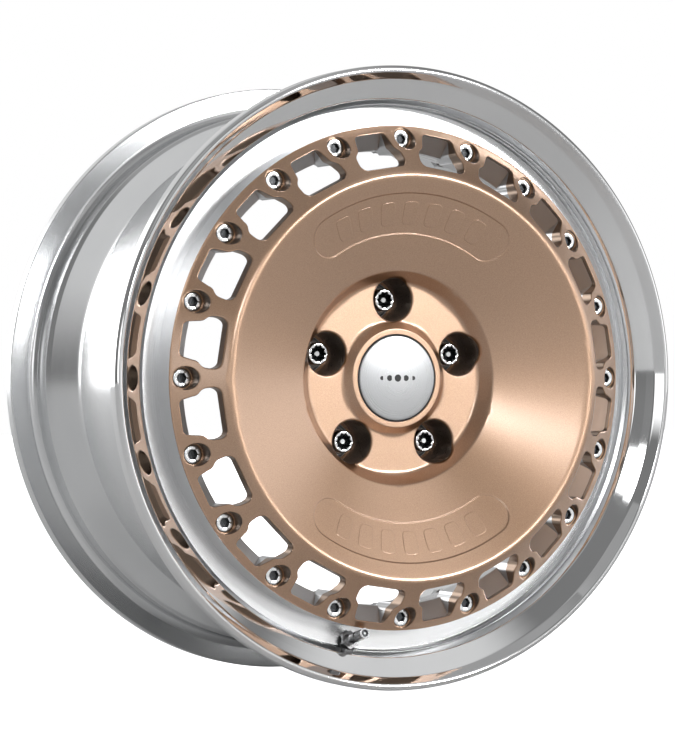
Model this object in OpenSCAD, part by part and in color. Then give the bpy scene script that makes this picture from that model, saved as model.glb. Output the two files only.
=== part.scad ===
// Three-piece forged racing wheel, 16 x 7.5 J, 5 x 112, offset 38.
// The wheel turns about Y and its face looks along -Y. The origin is the centre of the
// hub mounting face. Profiles are lists of [radius, y] points.

/* [Rim] */
// Radius of the rim flange edges
flange_r = 221.8; // [221.4:0.1:222.4]
// Radius of the bead seats beside the flanges
bead_r = 202.8; // [202.6:0.1:203]
// Rim width between the tyre-side faces of the flanges
rim_width = 190.5; // [184:0.5:197]
// Offset of the rim's mid-plane behind the hub mounting face
offset_y = 38; // [36:0.5:40]
// Thickness of the barrel wall
barrel_wall = 5; // [4:0.5:6]

/* [Face] */
// Radius of the rim bolt circle
rim_bolt_circle = 170; // [169.5:0.1:170.5]
// Number of rim bolts and of windows
rim_bolt_count = 20; // [16:4:20]
// Distance of the rim bolt heads in front of the hub mounting face
face_depth = 61; // [60:0.5:62]
// Outer radius of the bronze disc
disc_r = 179.4; // [179:0.1:180]
// Radius of the crest of the bulge
bulge_r = 142.8; // [142:0.2:144]
// Radius of the rounded bead on the bulge
bulge_round = 4.25; // [3:0.25:5]
// Depth of the two long panels in the dish
panel_depth = 0.7; // [0.4:0.1:1]

/* [Hub] */
// Radius of the wheel bolt circle
lug_circle = 56; // [55:0.5:57]
// Radius of the wheel bolt pockets
lug_pocket_r = 15.5; // [15:0.1:16]
// Radius of the bore in the hub ring
hub_bore_r = 33.3; // [32:0.1:34]
// Radius of the bore in the disc that holds the hub ring
disc_bore_r = 38; // [37:0.1:38.2]
// Radius of the bore that holds the centre cap
cap_bore_r = 31.2; // [31:0.1:31.6]

/* [Valve] */
// Angle of the valve round the wheel, from +X towards +Z
valve_angle = 260; // [250:1:268]
// Radius at which the valve leaves the flat ring
valve_r = 190.5; // [190:0.5:191]
// Tilt of the valve towards the axle
valve_tilt = 17; // [15:1:18]

/* [Hidden] */
$fn = 96;

bronze = "#c4946c";
bright = "#e4e6e8";
satin = "#b9bdc1";
steel = "#8f9499";
dark = "#1d1d1f";

// Planes across the wheel, from the face to the rear
face_y = -face_depth;
disc_back_y = face_y + 1;
ring_back_y = face_y + 20;
joint_y = ring_back_y + 7;
inner_flange_y = joint_y + 7;
outer_bead_y = offset_y - rim_width / 2;
inner_bead_y = offset_y + rim_width / 2;
flange_h = 12.25;
pad_y = -49.5;
boss_y = -55;

// Rim sections
bead_round = 6.5;
edge_round = 3.4;
flange_inner_r = 163;
joint_r = 184;
well_r = 189;
flat_r = 194.2;

// Disc sections
cone_slope = 0.72;
cone_edge_r = 179.5;
dish_foot = [76.3, -59.3];
pad_edge_r = 68.7;
boss_r = 35.2;
boss_foot_r = 40.5;
hub_back_r = 75;
dish_wall = 9.5;
ring_inner_r = 159.5;
bulge_back = [147, -78.3];

// Rim bolts: low cheese head, six-lobe recess
bolt_hole_r = 4.25;
bolt_shank_r = 4;
bolt_head_r = 6.5;
bolt_head_h = 5;
bolt_pocket_r = 8;
spigot_r = 8.4;
spigot_y = face_y + 9;

// Windows
window_in_r = 149;
window_out_r = 174;
window_wide = 18;
window_neck = 13.6;
window_tip = 12.4;

// Wheel bolts and their seats
lug_front_y = -36.4;
collar_front_y = -19;
seat_y = -17;
seat_gap = 0.35;
cone_r = 11.5;
cone_foot_r = 8;
cone_h = (cone_r - cone_foot_r) / tan(30);
insert_y = -18.2;
insert_back_y = -7;
insert_r = 13.2;
neck_r = 6.4;
thread_r = 7;
thread_y = 0.4;
shank_end_y = 28;

// ---- helpers ----

// Points on an arc in a profile, from angle a to angle b
function arc(c, r, a, b, n = 8) =
    [for (i = [0 : n]) c + r * [cos(a + (b - a) * i / n), sin(a + (b - a) * i / n)]];

// Front of the cone outside the bulge
function cone_y(r) = face_y + (r - cone_edge_r) * cone_slope;

// Centre of the bulge bead, which touches the cone
bulge_c = [bulge_r, cone_y(bulge_r) + bulge_round * sqrt(1 + cone_slope * cone_slope)];
cone_normal = atan2(-1, cone_slope);
to_bulge = bulge_c - dish_foot;
dish_turn = asin(bulge_round / norm(to_bulge));
dish_angle = atan2(to_bulge[1], to_bulge[0]) - dish_turn;

// Front of the dish inside the bulge
function dish_y(r) = dish_foot[1] + (r - dish_foot[0]) * tan(dish_angle);

// Turns a [radius, y] profile into a solid about Y
module lathe(points) {
    rotate([-90, 0, 0])
        rotate_extrude()
            polygon(points);
}

// Places its children at an angle from +X towards +Z, at a radius
module at(angle, radius = 0) {
    rotate([0, -angle, 0])
        translate([radius, 0, 0])
            children();
}

// Repeats its children round the wheel
module round_wheel(count, radius, start = 0) {
    for (i = [0 : count - 1])
        at(start + i * 360 / count, radius)
            children();
}

// Cylinder along Y between two planes
module rod(r, y0, y1) {
    translate([0, y0, 0])
        rotate([-90, 0, 0])
            cylinder(r = r, h = y1 - y0);
}

// Cone along Y between two planes
module taper(r0, r1, y0, y1) {
    translate([0, y0, 0])
        rotate([-90, 0, 0])
            cylinder(r1 = r0, r2 = r1, h = y1 - y0);
}

// Ring along Y between two planes
module tube(r_out, r_in, y0, y1) {
    difference() {
        rod(r_out, y0, y1);
        rod(r_in, y0 - 1, y1 + 1);
    }
}

// Flat outline in the X-Z plane, extruded along Y between two planes
module slab(y0, y1) {
    translate([0, y0, 0])
        rotate([-90, 0, 0])
            linear_extrude(y1 - y0)
                children();
}

// Outline of one window, drawn with the window's middle on the +X side. Its shoulders
// turn through one outward and one inward arc of the same radius.
module window_outline() {
    round_r = 5.2;
    tip = 3.5;
    neck_r = 165.6;
    shoulder = [157, window_wide - round_r];
    waist = [neck_r, window_neck + round_r];
    turn = atan2(waist[1] - shoulder[1], waist[0] - shoulder[0]);
    meet = shoulder + round_r * [cos(turn), sin(turn)];
    half = [
        [window_in_r, window_wide - round_r], [window_in_r + round_r, window_wide],
        [shoulder[0], window_wide], meet, [neck_r, window_neck],
        [window_out_r - tip, window_tip], [window_out_r, window_tip - tip]
    ];
    difference() {
        union() {
            polygon(concat(half, [for (i = [6 : -1 : 0]) [half[i][0], -half[i][1]]]));
            for (side = [-1, 1]) {
                translate([window_in_r + round_r, side * (window_wide - round_r)])
                    circle(r = round_r);
                translate([shoulder[0], side * shoulder[1]])
                    circle(r = round_r);
                translate([window_out_r - tip, side * (window_tip - tip)])
                    circle(r = tip);
            }
        }
        for (side = [-1, 1])
            translate([waist[0], side * waist[1]])
                circle(r = round_r - 0.02);
    }
}

// All the windows' prisms
module windows(y0, y1) {
    round_wheel(rim_bolt_count, 0, 180 / rim_bolt_count)
        slab(y0, y1)
            window_outline();
}

// Outline of one long panel with round ends, centred on the +Z side
module panel_outline() {
    panel_in = 102;
    panel_out = 131;
    half_angle = 33;
    end_step = 0.2;
    mid = (panel_in + panel_out) / 2;
    reach = 2 * panel_out;
    intersection() {
        difference() {
            circle(r = panel_out);
            circle(r = panel_in);
        }
        polygon([[0, 0], [-reach * tan(half_angle), -reach], [reach * tan(half_angle), -reach]]);
    }
    for (side = [-1, 1])
        rotate(side * half_angle)
            translate([0, -mid])
                circle(r = (panel_out - panel_in) / 2 - end_step);
}

// ---- rim ----

module outer_rim_half() {
    edge_c = [flange_r - edge_round, outer_bead_y - flange_h + edge_round];
    bead_c = [bead_r + bead_round, outer_bead_y + bead_round];
    color(bright)
        difference() {
            lathe(concat(
                [
                    [flange_inner_r, ring_back_y], [flat_r, ring_back_y], [195.6, ring_back_y - 1.6],
                    [195.9, ring_back_y - 3.4], [195.3, ring_back_y - 11.4]
                ],
                [[196.4, -54.6], [199.2, -56.8], [205, -59.9], [211, -63.4]],
                arc(edge_c, edge_round, -118, 0),
                [[flange_r, outer_bead_y]],
                arc(bead_c, bead_round, -90, -180),
                [
                    [201.9, -41], [202.6, -39], [201.6, -37], [199, joint_y - 1],
                    [186.6, joint_y - 1], [186, joint_y], [flange_inner_r, joint_y]
                ]
            ));
            round_wheel(rim_bolt_count, rim_bolt_circle)
                rod(bolt_hole_r, ring_back_y - 1, joint_y + 1);
            at_valve() {
                valve_bar(4.2, -20, 10);
                valve_bar(7.6, 0, 12);
                valve_bar(7.6, -14, -6.2);
            }
        }
}

module inner_rim_half() {
    rear_y = inner_bead_y + flange_h;
    edge_c = [flange_r - edge_round, rear_y - edge_round];
    bead_c = [bead_r + bead_round, inner_bead_y - bead_round];
    slope_y = inner_bead_y - 24;
    color(bright)
        difference() {
            lathe(concat(
                [[flange_inner_r, inner_flange_y], [flange_inner_r, joint_y]],
                [[joint_r - 2.5, joint_y], [joint_r, joint_y + 2.5], [joint_r, -14], [well_r, 4]],
                [[well_r, slope_y - 30], [200, slope_y], [202.9, slope_y + 3], [201.2, slope_y + 6]],
                arc(bead_c, bead_round, 180, 90),
                [[flange_r, inner_bead_y]],
                arc(edge_c, edge_round, 0, 118),
                [[211, 140.6], [205, 137.6], [199, 134.8], [196.8, 131], [195.2, slope_y]],
                [[well_r - barrel_wall, slope_y - 30], [well_r - barrel_wall, 4]],
                [[joint_r - barrel_wall, -14], [joint_r - barrel_wall, inner_flange_y]]
            ));
            round_wheel(rim_bolt_count, rim_bolt_circle)
                rod(bolt_hole_r, joint_y - 1, inner_flange_y + 1);
        }
}

module rim_seal() {
    seal_round = 0.98;
    color(dark)
        rotate([-90, 0, 0])
            rotate_extrude()
                translate([joint_r, joint_y + seal_round + 0.04])
                    circle(r = seal_round);
}

module rim_bolts() {
    recess_r = 2.7;
    recess_depth = 2.6;
    shank_end = inner_flange_y + 9;
    color(bright)
        round_wheel(rim_bolt_count, rim_bolt_circle)
            difference() {
                union() {
                    rod(bolt_head_r, face_y + 0.6, face_y + bolt_head_h);
                    taper(bolt_head_r - 0.6, bolt_head_r, face_y, face_y + 0.6);
                    rod(bolt_shank_r, face_y + bolt_head_h - 1, shank_end);
                }
                rod(recess_r, face_y - 1, face_y + recess_depth);
                round_wheel(6, recess_r + 0.25)
                    rod(0.75, face_y - 1, face_y + recess_depth);
            }
}

module rim_nut_washers() {
    color(steel)
        round_wheel(rim_bolt_count, rim_bolt_circle)
            tube(8, bolt_hole_r, inner_flange_y, inner_flange_y + 1.6);
}

module rim_nuts() {
    nut_y = inner_flange_y + 1.6;
    color(steel)
        round_wheel(rim_bolt_count, rim_bolt_circle)
            difference() {
                translate([0, nut_y, 0])
                    rotate([-90, 0, 0])
                        cylinder(r = 7.5, h = 6.8, $fn = 6);
                rod(bolt_shank_r + 0.05, nut_y - 1, nut_y + 8);
            }
}

// ---- disc ----

module backing_ring() {
    color(satin)
        difference() {
            lathe([
                [ring_inner_r, disc_back_y], [disc_r, disc_back_y],
                [disc_r, ring_back_y], [ring_inner_r, ring_back_y]
            ]);
            intersection() {
                windows(disc_back_y - 1, ring_back_y + 1);
                lathe([
                    [ring_inner_r, disc_back_y - 1], [ring_inner_r, ring_back_y + 1],
                    [flange_inner_r, ring_back_y + 1], [flange_inner_r, disc_back_y + 13.5],
                    [window_out_r, disc_back_y], [window_out_r + 1, disc_back_y - 1]
                ]);
            }
            round_wheel(rim_bolt_count, rim_bolt_circle) {
                rod(bolt_hole_r, disc_back_y - 1, ring_back_y + 1);
                rod(spigot_r + 0.1, disc_back_y - 1, spigot_y + 0.1);
            }
        }
}

module disc_blank() {
    back_turn = dish_wall / cos(dish_angle);
    lathe(concat(
        [[cap_bore_r, boss_y], [boss_r, boss_y], [boss_r + 1.6, boss_y + 0.8]],
        [[boss_foot_r - 1, pad_y - 0.7], [boss_foot_r + 1, pad_y], [pad_edge_r, pad_y]],
        [dish_foot + [-0.9, 1.1], dish_foot + [0.9, -0.5]],
        arc(bulge_c, bulge_round, dish_angle - 90, cone_normal, 10),
        [[disc_r - 0.5, cone_y(disc_r - 0.5)], [disc_r, cone_y(disc_r) + 0.4]],
        [[disc_r, disc_back_y], [ring_inner_r + 0.5, disc_back_y], bulge_back + [1.2, 2.6]],
        [bulge_back + [-1.5, 0.6], [86, dish_y(86) + back_turn], [80, -48], [77, -42]],
        [[hub_back_r, -30], [hub_back_r, -1], [hub_back_r - 1, 0], [disc_bore_r, 0]],
        [[disc_bore_r, -14], [cap_bore_r, -14]]
    ));
}

module panel_cut() {
    panel_turn = panel_depth / cos(dish_angle);
    intersection() {
        lathe([
            [100, dish_y(100) - 4], [135, dish_y(135) - 4],
            [135, dish_y(135) + panel_turn], [100, dish_y(100) + panel_turn]
        ]);
        union() {
            slab(-100, -50) panel_outline();
            rotate([0, 180, 0]) slab(-100, -50) panel_outline();
        }
    }
}

module centre_disc() {
    color(bronze)
        difference() {
            union() {
                disc_blank();
                round_wheel(rim_bolt_count, rim_bolt_circle)
                    rod(spigot_r, disc_back_y - 1, spigot_y);
            }
            windows(-100, disc_back_y + 1);
            round_wheel(rim_bolt_count, rim_bolt_circle) {
                rod(bolt_pocket_r, -90, disc_back_y - 0.5);
                rod(bolt_head_r + 0.4, -90, face_y + bolt_head_h);
                rod(bolt_hole_r, -90, 0);
            }
            round_wheel(5, lug_circle, 90) {
                rod(lug_pocket_r, -90, insert_y);
                rod(insert_r, -90, insert_back_y);
                rod(cone_foot_r, -90, 10);
            }
            panel_cut();
        }
}

module seat_inserts() {
    color(steel)
        round_wheel(5, lug_circle, 90)
            difference() {
                rod(insert_r, insert_y, insert_back_y);
                rod(cone_foot_r, insert_y - 1, insert_back_y + 1);
                taper(
                    cone_r + seat_gap + (seat_y - insert_y + 2) * tan(30), cone_foot_r - 1.2,
                    insert_y - 2, seat_y + (cone_r + seat_gap - cone_foot_r + 1.2) / tan(30)
                );
            }
}

module hub_ring() {
    ring_y = -12;
    color(dark)
        lathe([
            [hub_bore_r, ring_y], [disc_bore_r - 0.5, ring_y],
            [disc_bore_r, ring_y + 0.5], [disc_bore_r, 0], [hub_bore_r, 0]
        ]);
}

// ---- centre cap ----

module cap_body() {
    groove_r = 28.7;
    color(satin)
        lathe([
            [0, -53], [cap_bore_r - 0.3, -53], [cap_bore_r - 0.3, -47.3], [groove_r, -47.3],
            [groove_r, -44.7], [cap_bore_r - 0.3, -44.7], [cap_bore_r - 0.3, -41],
            [cap_bore_r - 1.3, -40], [27, -40], [27, -50], [0, -50]
        ]);
}

module cap_disc() {
    dome_r = 322;
    edge_y = boss_y - 0.2;
    half_chord = 29.6;
    dome_c = [0, edge_y + sqrt(dome_r * dome_r - half_chord * half_chord)];
    dome_turn = asin(half_chord / dome_r);
    color(bright)
        lathe(concat(
            [[0, -53]],
            arc(dome_c, dome_r, -90, -90 + dome_turn, 6),
            [[30.1, edge_y + 0.5], [30.1, -53]]
        ));
}

module cap_ring() {
    color(dark)
        tube(cap_bore_r - 0.3, 30.15, boss_y + 0.1, -53);
}

module cap_o_ring() {
    o_ring_round = 1.15;
    color(dark)
        rotate([-90, 0, 0])
            rotate_extrude()
                translate([28.75 + o_ring_round, -46])
                    circle(r = o_ring_round);
}

// ---- wheel bolts ----

module wheel_bolt() {
    hollow_r = 5.3;
    color(bright)
        difference() {
            union() {
                taper(7.4, 8, lug_front_y, lug_front_y + 0.6);
                rod(8, lug_front_y + 0.6, -21);
                rod(9.8, -22, collar_front_y - 0.3);
                rod(neck_r, -22, thread_y + 1);
                taper(neck_r, thread_r, thread_y, thread_y + 0.6);
                rod(thread_r, thread_y + 0.6, shank_end_y - 1.5);
                taper(thread_r, thread_r - 1.2, shank_end_y - 1.5, shank_end_y);
            }
            rod(hollow_r, lug_front_y - 1, lug_front_y + 12);
            round_wheel(10, hollow_r)
                rod(0.9, lug_front_y - 1, lug_front_y + 9);
        }
}

module bolt_collar() {
    color(steel)
        difference() {
            union() {
                rod(cone_r, collar_front_y, seat_y);
                taper(cone_r, cone_foot_r, seat_y, seat_y + cone_h);
            }
            rod(neck_r + 0.08, collar_front_y - 1, seat_y + cone_h + 1);
        }
}

module lug_place(i) {
    at(90 + (i - 1) * 72, lug_circle)
        children();
}

module wheel_bolt_1() { lug_place(1) wheel_bolt(); }
module wheel_bolt_2() { lug_place(2) wheel_bolt(); }
module wheel_bolt_3() { lug_place(3) wheel_bolt(); }
module wheel_bolt_4() { lug_place(4) wheel_bolt(); }
module wheel_bolt_5() { lug_place(5) wheel_bolt(); }
module bolt_collar_1() { lug_place(1) bolt_collar(); }
module bolt_collar_2() { lug_place(2) bolt_collar(); }
module bolt_collar_3() { lug_place(3) bolt_collar(); }
module bolt_collar_4() { lug_place(4) bolt_collar(); }
module bolt_collar_5() { lug_place(5) bolt_collar(); }

// ---- valve ----

// Valve frame: local +Z runs out of the wheel along the stem, from the flat ring
module at_valve() {
    at(valve_angle)
        translate([valve_r, ring_back_y, 0])
            rotate([0, 0, -valve_tilt])
                rotate([90, 0, 0])
                    children();
}

// Cylinder along the valve's own axis
module valve_bar(r, z0, z1) {
    translate([0, 0, z0])
        cylinder(r = r, h = z1 - z0);
}

module valve_stem() {
    color(bright)
        at_valve()
            difference() {
                union() {
                    valve_bar(6.3, -11.2, -8.2);
                    valve_bar(4, -9, 16);
                    valve_bar(4.7, 5.5, 8);
                    valve_bar(3.1, 15, 18.5);
                    valve_bar(3.85, 18.5, 27);
                }
                valve_bar(1.5, -12, 20);
                valve_bar(2.6, 17, 28);
            }
}

module valve_washer() {
    color(steel)
        at_valve()
            difference() {
                valve_bar(7.2, 0, 1);
                valve_bar(4.05, -1, 2);
            }
}

module valve_nut() {
    color(bright)
        at_valve()
            difference() {
                translate([0, 0, 1])
                    cylinder(r = 6.9, h = 4.5, $fn = 6);
                valve_bar(4.05, 0, 6);
            }
}

module valve_inner_seal() {
    color(dark)
        at_valve()
            difference() {
                valve_bar(6.6, -8.2, -6.2);
                valve_bar(4.05, -9, -5);
            }
}

module valve_core() {
    color("#c9a24e")
        at_valve()
            difference() {
                valve_bar(2.5, 17, 25.6);
                valve_bar(0.98, 16, 27);
            }
}

module valve_pin() {
    color("#c9a24e")
        at_valve()
            valve_bar(0.9, 18.5, 26.8);
}

outer_rim_half();
inner_rim_half();
rim_seal();
backing_ring();
centre_disc();
rim_bolts();
rim_nut_washers();
rim_nuts();
seat_inserts();
hub_ring();
cap_body();
cap_disc();
cap_ring();
cap_o_ring();
wheel_bolt_1();
wheel_bolt_2();
wheel_bolt_3();
wheel_bolt_4();
wheel_bolt_5();
bolt_collar_1();
bolt_collar_2();
bolt_collar_3();
bolt_collar_4();
bolt_collar_5();
valve_stem();
valve_washer();
valve_nut();
valve_inner_seal();
valve_core();
valve_pin();
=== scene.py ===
import math

import bmesh
import bpy
import numpy as np
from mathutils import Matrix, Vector


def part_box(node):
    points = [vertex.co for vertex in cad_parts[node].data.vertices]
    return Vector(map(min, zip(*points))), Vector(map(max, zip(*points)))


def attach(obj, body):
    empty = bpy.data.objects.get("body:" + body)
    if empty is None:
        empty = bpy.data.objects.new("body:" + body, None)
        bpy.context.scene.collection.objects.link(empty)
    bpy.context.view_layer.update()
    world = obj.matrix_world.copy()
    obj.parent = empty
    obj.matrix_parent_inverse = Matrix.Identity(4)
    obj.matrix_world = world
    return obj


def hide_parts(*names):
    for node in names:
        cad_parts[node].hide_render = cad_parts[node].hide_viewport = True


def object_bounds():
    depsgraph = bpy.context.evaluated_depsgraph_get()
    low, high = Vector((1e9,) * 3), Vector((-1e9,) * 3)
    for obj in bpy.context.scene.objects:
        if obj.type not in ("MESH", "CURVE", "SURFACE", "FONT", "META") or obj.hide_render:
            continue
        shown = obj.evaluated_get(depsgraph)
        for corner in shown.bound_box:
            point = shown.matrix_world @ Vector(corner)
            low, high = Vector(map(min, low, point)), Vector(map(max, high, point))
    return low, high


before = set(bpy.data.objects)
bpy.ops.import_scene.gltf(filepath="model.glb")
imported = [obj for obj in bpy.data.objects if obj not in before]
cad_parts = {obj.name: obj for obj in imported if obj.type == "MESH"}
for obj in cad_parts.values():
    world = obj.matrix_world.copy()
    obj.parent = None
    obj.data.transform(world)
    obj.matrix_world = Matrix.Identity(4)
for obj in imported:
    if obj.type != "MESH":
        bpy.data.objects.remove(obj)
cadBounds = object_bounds()
mm = 0.001
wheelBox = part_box("outer_rim_half")
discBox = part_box("centre_disc")
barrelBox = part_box("inner_rim_half")
flangeR = wheelBox[1].x / mm
lipFrontY = wheelBox[0].y / mm
rearY = barrelBox[1].y / mm
discR = discBox[1].x / mm
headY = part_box("rim_bolts")[0].y / mm   # front plane of the rim bolt heads
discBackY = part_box("backing_ring")[0].y / mm
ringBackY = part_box("backing_ring")[1].y / mm
print("frame loaded, nodes:", len(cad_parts))


studio = {
    "cameraPlace": (-1.0102, -1.9677, 0.0),
    "cameraHeading": (0.4496, 0.8932, 0.0),
    "lens": 145.6, "sensorWidth": 36.0, "shiftY": 0.0041, "clip": (0.05, 50.0),
    "floorTone": (0.80, 0.80, 0.80), "floorRough": 0.6, "floorGlow": 1.4, "floorHalf": 9.0,
    "paperTone": (1.0, 1.0, 1.0, 1.0),
    "keyPlace": (-1.6, -2.2, 2.6), "keySize": (2.2, 1.6), "keyPower": 2.0,
    # height from 0 below to 1 above, and the room's tone there
    "roomTones": [(0.0, 0.04), (0.30, 0.08), (0.46, 0.14), (0.56, 0.20), (0.72, 0.24), (1.0, 0.20)],
    # heading, half angle, soft edge in degrees, vertical squash, power
    "softBoxes": [
        ((0.38, -0.92, 0.02), 32, 18, 2.0, 0.62),
        ((0.45, -0.86, 0.25), 3, 3, 1.0, 46.0),
        ((0.45, -0.86, -0.25), 3, 3, 1.0, 5.0),
        ((-0.30, -0.93, 0.27), 3, 3, 1.0, 18.0),
        ((-0.74, -0.68, 0.05), 5, 9, 1.0, 1.60),
        ((0.97, -0.25, 0.05), 15, 16, 1.2, 1.15),
        ((-0.45, 0.89, 0.06), 9, 16, 0.7, 2.60),
        ((-0.25, 0.80, 0.55), 30, 22, 1.0, 0.50),
        ((0.0, -0.1, 1.0), 16, 20, 1.0, 0.20),
        ((0.45, -0.60, 0.66), 12, 14, 1.0, 0.55),
    ],
}


def makeCamera():
    # A camera looks along its own -Z, so the heading is turned into a rotation with +Y up
    camera = bpy.data.objects.new("mainCamera", bpy.data.cameras.new("mainCamera"))
    camera.data.lens = studio["lens"]
    camera.data.sensor_width = studio["sensorWidth"]
    camera.data.shift_y = studio["shiftY"]
    camera.data.clip_start, camera.data.clip_end = studio["clip"]
    camera.location = studio["cameraPlace"]
    heading = Vector(studio["cameraHeading"])
    camera.rotation_euler = heading.to_track_quat("-Z", "Y").to_euler()
    bpy.context.scene.collection.objects.link(camera)
    bpy.context.scene.camera = camera


def makeKeyLight():
    # One large soft panel, turned so that its -Z looks at the origin
    light = bpy.data.lights.new("keyBox", "AREA")
    light.shape = "RECTANGLE"
    light.size, light.size_y = studio["keySize"]
    light.energy = studio["keyPower"]
    lamp = bpy.data.objects.new("keyBox", light)
    lamp.location = studio["keyPlace"]
    lamp.rotation_euler = (-Vector(studio["keyPlace"])).to_track_quat("-Z", "Y").to_euler()
    bpy.context.scene.collection.objects.link(lamp)


def softBoxAdded(tree, place, total, heading, halfAngle, soft, squash, power):
    # Adds a bright patch to the world: the dot product of the view direction and the patch's
    # heading, both stretched upwards, fades from full power to nothing across the soft edge
    stretch = Vector((1.0, 1.0, squash))
    flat = tree.nodes.new("ShaderNodeVectorMath")
    flat.operation = "MULTIPLY"
    flat.inputs[1].default_value = stretch
    unit = tree.nodes.new("ShaderNodeVectorMath")
    unit.operation = "NORMALIZE"
    dot = tree.nodes.new("ShaderNodeVectorMath")
    dot.operation = "DOT_PRODUCT"
    dot.inputs[1].default_value = (Vector(heading) * stretch).normalized()
    patch = tree.nodes.new("ShaderNodeMapRange")
    patch.interpolation_type = "SMOOTHSTEP"
    patch.inputs["From Min"].default_value = math.cos(math.radians(halfAngle + soft))
    patch.inputs["From Max"].default_value = math.cos(math.radians(halfAngle))
    patch.inputs["To Max"].default_value = power
    add = tree.nodes.new("ShaderNodeMath")
    add.operation = "ADD"
    tree.links.new(place, flat.inputs[0])
    tree.links.new(flat.outputs["Vector"], unit.inputs[0])
    tree.links.new(unit.outputs["Vector"], dot.inputs[0])
    tree.links.new(dot.outputs["Value"], patch.inputs["Value"])
    tree.links.new(total, add.inputs[0])
    tree.links.new(patch.outputs["Result"], add.inputs[1])
    return add.outputs[0]


def makeWorld():
    # The studio seen in reflections: a dim room, whose tone goes with height, plus the soft
    # boxes. Only the camera itself sees plain white paper
    world = bpy.data.worlds.new("studio")
    world.use_nodes = True
    bpy.context.scene.world = world
    tree = world.node_tree
    tree.nodes.clear()
    out = tree.nodes.new("ShaderNodeOutputWorld")
    room = tree.nodes.new("ShaderNodeBackground")
    paper = tree.nodes.new("ShaderNodeBackground")
    mix = tree.nodes.new("ShaderNodeMixShader")
    path = tree.nodes.new("ShaderNodeLightPath")
    place = tree.nodes.new("ShaderNodeTexCoord")
    split = tree.nodes.new("ShaderNodeSeparateXYZ")
    height = tree.nodes.new("ShaderNodeMapRange")
    ramp = tree.nodes.new("ShaderNodeValToRGB")
    height.inputs["From Min"].default_value = -1.0
    tree.links.new(place.outputs["Generated"], split.inputs[0])
    tree.links.new(split.outputs["Z"], height.inputs["Value"])
    tree.links.new(height.outputs["Result"], ramp.inputs["Fac"])
    stops = studio["roomTones"]
    for position, tone in stops[1:-1]:
        ramp.color_ramp.elements.new(position)
    for element, (position, tone) in zip(ramp.color_ramp.elements, stops):
        element.position = position
        element.color = (tone, tone, tone, 1.0)
    total = ramp.outputs["Color"]
    for box in studio["softBoxes"]:
        total = softBoxAdded(tree, place.outputs["Generated"], total, *box)
    paper.inputs["Color"].default_value = studio["paperTone"]
    tree.links.new(total, room.inputs["Color"])
    tree.links.new(path.outputs["Is Camera Ray"], mix.inputs["Fac"])
    tree.links.new(room.outputs[0], mix.inputs[1])
    tree.links.new(paper.outputs[0], mix.inputs[2])
    tree.links.new(mix.outputs[0], out.inputs[0])


def makeFloor():
    # A pale flat square under the wheel. Its glow is for the camera alone, which sees it as
    # white as the paper behind
    grid = np.full((3, 3, 3), cadBounds[0][2])
    spots = np.linspace(-studio["floorHalf"], studio["floorHalf"], 3)
    grid[:, :, 0] = spots[:, None]
    grid[:, :, 1] = spots[None, :]
    material = newMaterial("paleFloor", studio["floorTone"], rough=studio["floorRough"])
    path = addNode(material, "ShaderNodeLightPath")
    glow = addNode(material, "ShaderNodeMath", operation="MULTIPLY")
    glow.inputs[1].default_value = studio["floorGlow"]
    shader = shaderOf(material)
    shader.inputs["Emission Color"].default_value = studio["paperTone"]
    link(material, path.outputs["Is Camera Ray"], glow.inputs[0])
    link(material, glow.outputs[0], shader.inputs["Emission Strength"])
    makePiece("studioFloor", [gridPatch(grid)], material)


def gridPatch(grid, closeU=False, closeV=False, flip=False):
    # Points of a two-parameter grid and the quads between neighbours, wrapped where asked
    grid = np.asarray(grid, float)
    nu, nv = grid.shape[:2]
    index = np.arange(nu * nv).reshape(nu, nv)
    if closeU:
        index = np.concatenate([index, index[:1]], 0)
    if closeV:
        index = np.concatenate([index, index[:, :1]], 1)
    quads = np.stack([index[:-1, :-1], index[1:, :-1], index[1:, 1:], index[:-1, 1:]], -1)
    quads = quads.reshape(-1, 4)
    if flip:
        quads = quads[:, ::-1]
    return grid.reshape(-1, 3), quads


def joined(patches):
    # Stacks the patches' points and merges points closer than a micrometre
    points = np.concatenate([p for p, q in patches])
    starts = np.cumsum([0] + [len(p) for p, q in patches[:-1]])
    quads = np.concatenate([q + s for (p, q), s in zip(patches, starts)])
    keys = np.round(points / 1e-6).astype(np.int64)
    first, inverse = np.unique(keys, axis=0, return_index=True, return_inverse=True)[1:]
    return points[first], inverse.reshape(-1)[quads]


def facesOf(quads):
    # Quads with a repeated corner become triangles, and flat slivers are dropped
    faces = []
    same = quads == np.roll(quads, -1, axis=1)
    whole = quads[~same.any(1)]
    for quad, twin in zip(quads[same.any(1)].tolist(), same[same.any(1)].tolist()):
        corner = [v for v, t in zip(quad, twin) if not t]
        if len(set(corner)) == 3:
            faces.append(corner)
    return whole.tolist() + faces


def makePiece(name, patches, material, sharpAngle=30.0):
    # Joins the patches to one mesh, turns its faces outwards and keeps edges over the angle sharp
    points, quads = joined(patches)
    mesh = bpy.data.meshes.new(name)
    mesh.from_pydata(points, [], facesOf(quads))
    shell = bmesh.new()
    shell.from_mesh(mesh)
    bmesh.ops.recalc_face_normals(shell, faces=shell.faces)
    shell.to_mesh(mesh)
    shell.free()
    mesh.materials.append(material)
    mesh.shade_smooth()
    mesh.set_sharp_from_angle(angle=math.radians(sharpAngle))
    mesh.update()
    piece = bpy.data.objects.new(name, mesh)
    bpy.context.scene.collection.objects.link(piece)
    return piece


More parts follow.
